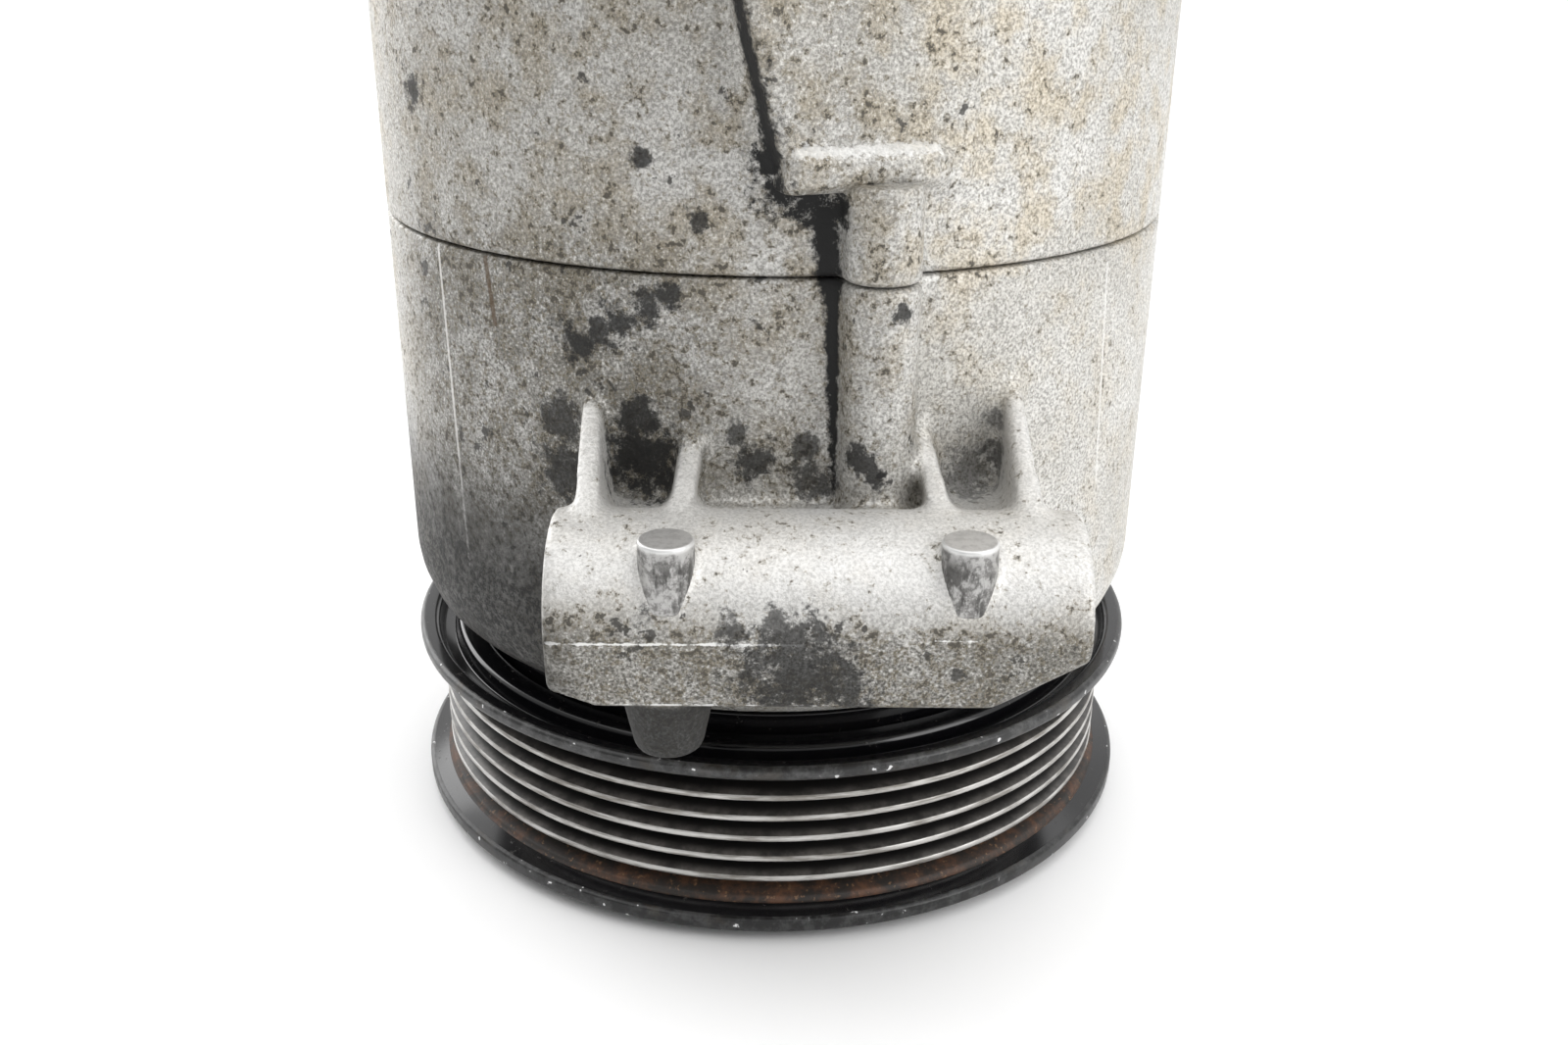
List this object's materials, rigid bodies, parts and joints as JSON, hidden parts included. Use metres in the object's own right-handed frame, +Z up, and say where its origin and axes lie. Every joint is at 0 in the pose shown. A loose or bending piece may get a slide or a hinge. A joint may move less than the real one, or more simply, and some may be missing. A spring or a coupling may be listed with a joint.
{
  "type": "electromagnetic clutch on its compressor",
  "caption": "Grooved belt pulley with electromagnetic clutch, mounted on the shaft of a round cast swash-plate compressor with tubular mounting lugs.",
  "frame": {"origin": "on the shaft's axis, in the plane of the clutch's front face, which the unit stands on", "axes": "+Z up along the shaft from the clutch to the rear head; -Y towards the side with the long mounting tube; +X to the right seen from that side"},
  "size_m": [0.1445, 0.1685, 0.21],
  "materials": {
    "cast_aluminium": "rough die-cast, grimy",
    "machined_aluminium": "machined",
    "black_paint": "gloss black, worn to bare metal on edges",
    "bare_steel": "machined",
    "spring_steel": "smooth rolled",
    "plated_steel": "zinc plated",
    "cast_iron": "machined",
    "copper_winding": "enamelled copper wire under resin",
    "seal_rubber": "smooth",
    "black_plastic": "moulded",
    "gasket": "coated steel gasket"
  },
  "bodies": {
    "housing": {"front_housing": "cast_aluminium", "cylinder_block": "cast_aluminium", "rear_head": "cast_aluminium", "suction_reed_plate": "bare_steel", "valve_plate": "bare_steel", "head_gasket": "gasket", "housing_o_ring": "seal_rubber", "locating_dowel": "bare_steel", "control_valve": "black_paint", "relief_valve": "bare_steel", "coil_housing": "black_paint", "coil_winding": "copper_winding", "coil_lead_gland": "black_plastic", "coil_snap_ring": "bare_steel", "bearing_inner_race": "bare_steel", "nose_snap_ring": "bare_steel", "shaft_seal": "seal_rubber", "seal_snap_ring": "bare_steel", "front_needle_bearing": "bare_steel", "rear_needle_bearing": "bare_steel", "front_thrust_bearing": "bare_steel", "piston_1": "machined_aluminium", "piston_2": "machined_aluminium", "piston_3": "machined_aluminium", "piston_4": "machined_aluminium", "piston_5": "machined_aluminium", "piston_6": "machined_aluminium", "through_bolt_1": "plated_steel", "through_bolt_2": "plated_steel", "through_bolt_3": "plated_steel", "through_bolt_4": "plated_steel", "through_bolt_5": "plated_steel", "through_bolt_6": "plated_steel"},
    "pulley": {"pulley_rotor": "black_paint", "bearing_outer_race": "bare_steel", "bearing_seal_front": "seal_rubber", "bearing_seal_rear": "seal_rubber", "bearing_snap_ring": "bare_steel"},
    "cage": {"bearing_balls_in_cage": "bare_steel"},
    "shaft": {"drive_shaft": "bare_steel", "drive_hub": "black_paint", "hub_bolt": "plated_steel", "lug_plate": "cast_iron", "swash_plate": "cast_iron", "return_spring": "bare_steel", "leaf_spring_1": "spring_steel", "leaf_spring_2": "spring_steel", "leaf_spring_3": "spring_steel", "hub_rivet_1": "bare_steel", "hub_rivet_2": "bare_steel", "hub_rivet_3": "bare_steel"},
    "armature": {"armature_plate": "bare_steel", "armature_rivet_1": "bare_steel", "armature_rivet_2": "bare_steel", "armature_rivet_3": "bare_steel"}
  },
  "joints": [
    {"name": "pulley_spin", "type": "hinge", "parent": "housing", "child": "pulley", "pos_m": [0, 0, 0.0178], "axis": [0, 0, 1], "continuous": true},
    {"name": "cage_spin", "type": "hinge", "parent": "housing", "child": "cage", "pos_m": [0, 0, 0.0178], "axis": [0, 0, 1], "continuous": true},
    {"name": "shaft_spin", "type": "hinge", "parent": "housing", "child": "shaft", "pos_m": [0, 0, 0.0378], "axis": [0, 0, 1], "continuous": true},
    {"name": "armature_engage", "type": "slide", "parent": "shaft", "child": "armature", "axis": [0, 0, 1], "range_m": [0, 0.0004], "stiffness_N_per_m": 20000}
  ],
  "couplings": [
    {"joint": "cage_spin", "follows": "pulley_spin", "ratio": 0.5598}
  ]
}
